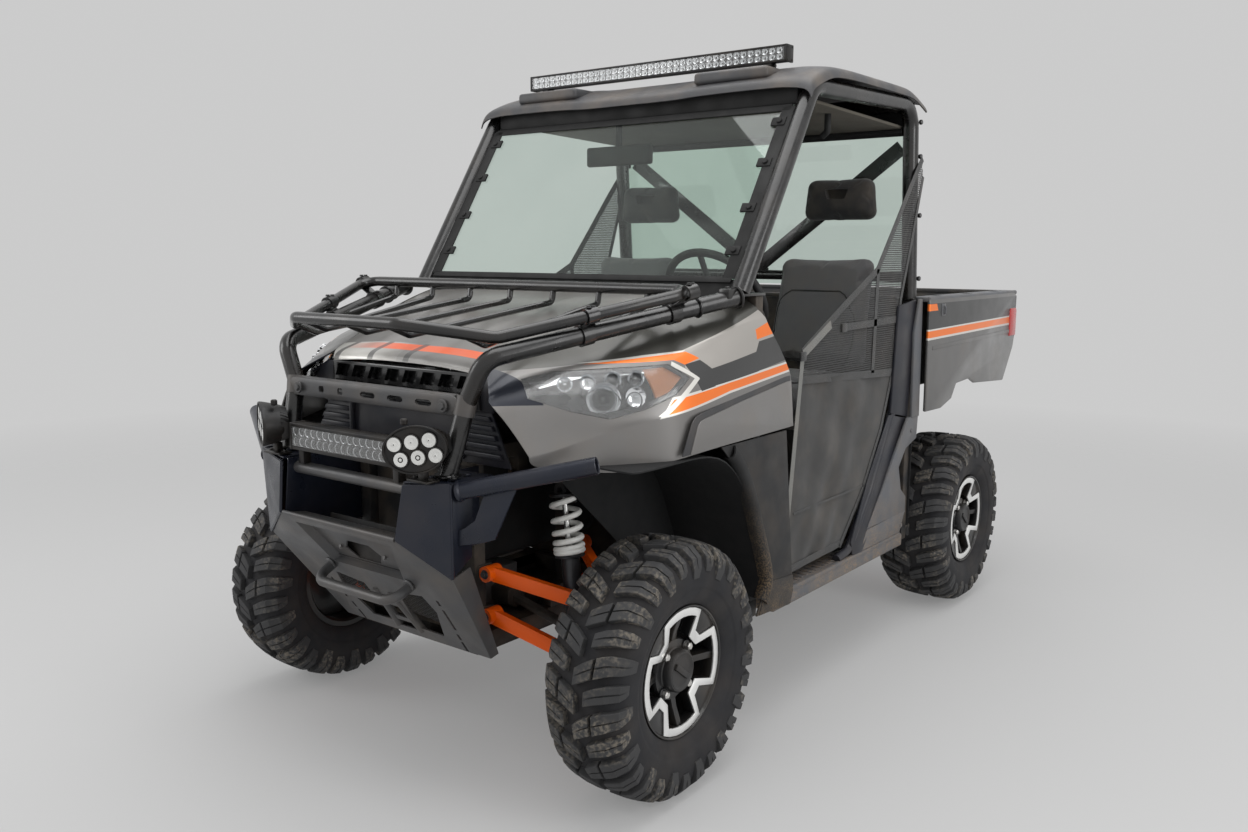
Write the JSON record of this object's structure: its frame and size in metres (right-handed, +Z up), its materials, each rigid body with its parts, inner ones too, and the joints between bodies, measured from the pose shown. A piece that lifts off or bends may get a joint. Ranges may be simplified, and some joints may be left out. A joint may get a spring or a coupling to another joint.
{
  "type": "side by side utility vehicle",
  "caption": "Open-sided utility vehicle with a roll cage cab, steered front wheels, a tipping cargo bed with a tailgate, a front rack, a folded plate bumper and lamps.",
  "frame": {"origin": "on the ground, under the middle of the bounding box", "axes": "front faces -Y, +X is the left side of the vehicle, +Z up"},
  "size_m": [1.591, 3.187, 2.07],
  "materials": {
    "tyre_rubber": "matt, dusty",
    "rim_black": "satin black with a machined band",
    "cast_grey": "rough cast",
    "arm_orange": "gloss orange",
    "spring_white": "satin white",
    "damper_metal": "machined",
    "steel": "plain",
    "frame_black": "satin black",
    "dark_plastic": "moulded, slightly rough",
    "body_grey": "satin grey metallic",
    "bumper_black": "satin black",
    "clear_glass": "clear, faintly green",
    "seat_cover": "dark grey vinyl",
    "net_black": "woven mesh",
    "lamp_clear": "clear lens",
    "lamp_red": "red lens",
    "engine_metal": "cast"
  },
  "bodies": {
    "chassis": {"front_arms": "arm_orange", "rear_arms": "arm_orange", "rear_knuckles": "cast_grey", "shock_absorbers": "damper_metal", "shock_springs": "spring_white", "front_gearcase": "engine_metal", "half_shafts": "steel", "lower_frame": "frame_black", "front_frame": "frame_black", "rear_frame": "frame_black", "cab_frame": "frame_black", "skid_plate": "frame_black", "powertrain": "engine_metal", "exhaust": "steel", "cab_floor": "dark_plastic", "seat_base": "dark_plastic", "side_sills": "dark_plastic", "quarter_panels": "body_grey", "cab_cage": "frame_black", "roof": "dark_plastic", "windscreen": "clear_glass", "rear_window": "clear_glass", "interior_mirror": "dark_plastic", "dashboard": "dark_plastic", "steering_column": "frame_black", "fenders": "body_grey", "headlamps": "lamp_clear", "hood": "body_grey", "grille": "dark_plastic", "radiator": "engine_metal", "arch_liners": "dark_plastic", "front_bumper": "bumper_black", "brush_guard": "bumper_black", "hood_rack": "frame_black", "bar_lamp": "frame_black", "spot_lamps": "frame_black", "roof_light_bar": "frame_black", "seat_bottoms": "seat_cover", "seat_backs": "seat_cover", "headrests": "seat_cover", "side_nets": "net_black"},
    "steering_wheel": {"steering_wheel": "dark_plastic"},
    "steering_rack": {"steering_rack": "steel"},
    "knuckle_left": {"knuckle_left": "cast_grey"},
    "knuckle_right": {"knuckle_right": "cast_grey"},
    "wheel_front_left": {"rim_front_left": "rim_black", "tyre_front_left": "tyre_rubber"},
    "wheel_front_right": {"rim_front_right": "rim_black", "tyre_front_right": "tyre_rubber"},
    "wheel_rear_left": {"rim_rear_left": "rim_black", "tyre_rear_left": "tyre_rubber"},
    "wheel_rear_right": {"rim_rear_right": "rim_black", "tyre_rear_right": "tyre_rubber"},
    "cargo_bed": {"cargo_bed": "dark_plastic", "bed_sides": "body_grey", "tail_lamps": "lamp_red"},
    "tailgate": {"tailgate": "dark_plastic"}
  },
  "joints": [
    {"name": "steer_left", "type": "hinge", "parent": "chassis", "child": "knuckle_left", "pos_m": [0.616, -1.0535, 0.343], "axis": [0, 0, 1], "range_deg": [-30, 30]},
    {"name": "steer_right", "type": "hinge", "parent": "chassis", "child": "knuckle_right", "pos_m": [-0.616, -1.0535, 0.343], "axis": [0, 0, 1], "range_deg": [-30, 30]},
    {"name": "rack_slide", "type": "slide", "parent": "chassis", "child": "steering_rack", "axis": [-1, 0, 0], "range_m": [-0.053, 0.053]},
    {"name": "steering_turn", "type": "hinge", "parent": "chassis", "child": "steering_wheel", "pos_m": [0.4, -0.3535, 1.282], "axis": [0, 0.8191, 0.5736], "range_deg": [-331, 331]},
    {"name": "spin_front_left", "type": "hinge", "parent": "knuckle_left", "child": "wheel_front_left", "pos_m": [0.678, -1.0535, 0.343], "axis": [1, 0, 0], "continuous": true},
    {"name": "spin_front_right", "type": "hinge", "parent": "knuckle_right", "child": "wheel_front_right", "pos_m": [-0.678, -1.0535, 0.343], "axis": [1, 0, 0], "continuous": true},
    {"name": "spin_rear_left", "type": "hinge", "parent": "chassis", "child": "wheel_rear_left", "pos_m": [0.656, 1.0035, 0.343], "axis": [1, 0, 0], "continuous": true},
    {"name": "spin_rear_right", "type": "hinge", "parent": "chassis", "child": "wheel_rear_right", "pos_m": [-0.656, 1.0035, 0.343], "axis": [1, 0, 0], "continuous": true},
    {"name": "bed_tilt", "type": "hinge", "parent": "chassis", "child": "cargo_bed", "pos_m": [0, 1.2385, 0.868], "axis": [-1, 0, 0], "range_deg": [0, 45]},
    {"name": "tailgate_fold", "type": "hinge", "parent": "cargo_bed", "child": "tailgate", "pos_m": [0, 1.5675, 0.958], "axis": [-1, 0, 0], "range_deg": [0, 90]}
  ],
  "couplings": [
    {"joint": "steer_right", "follows": "steer_left", "ratio": 1},
    {"joint": "rack_slide", "follows": "steer_left", "m_per_rad": 0.1},
    {"joint": "steering_turn", "follows": "steer_left", "ratio": 11}
  ]
}
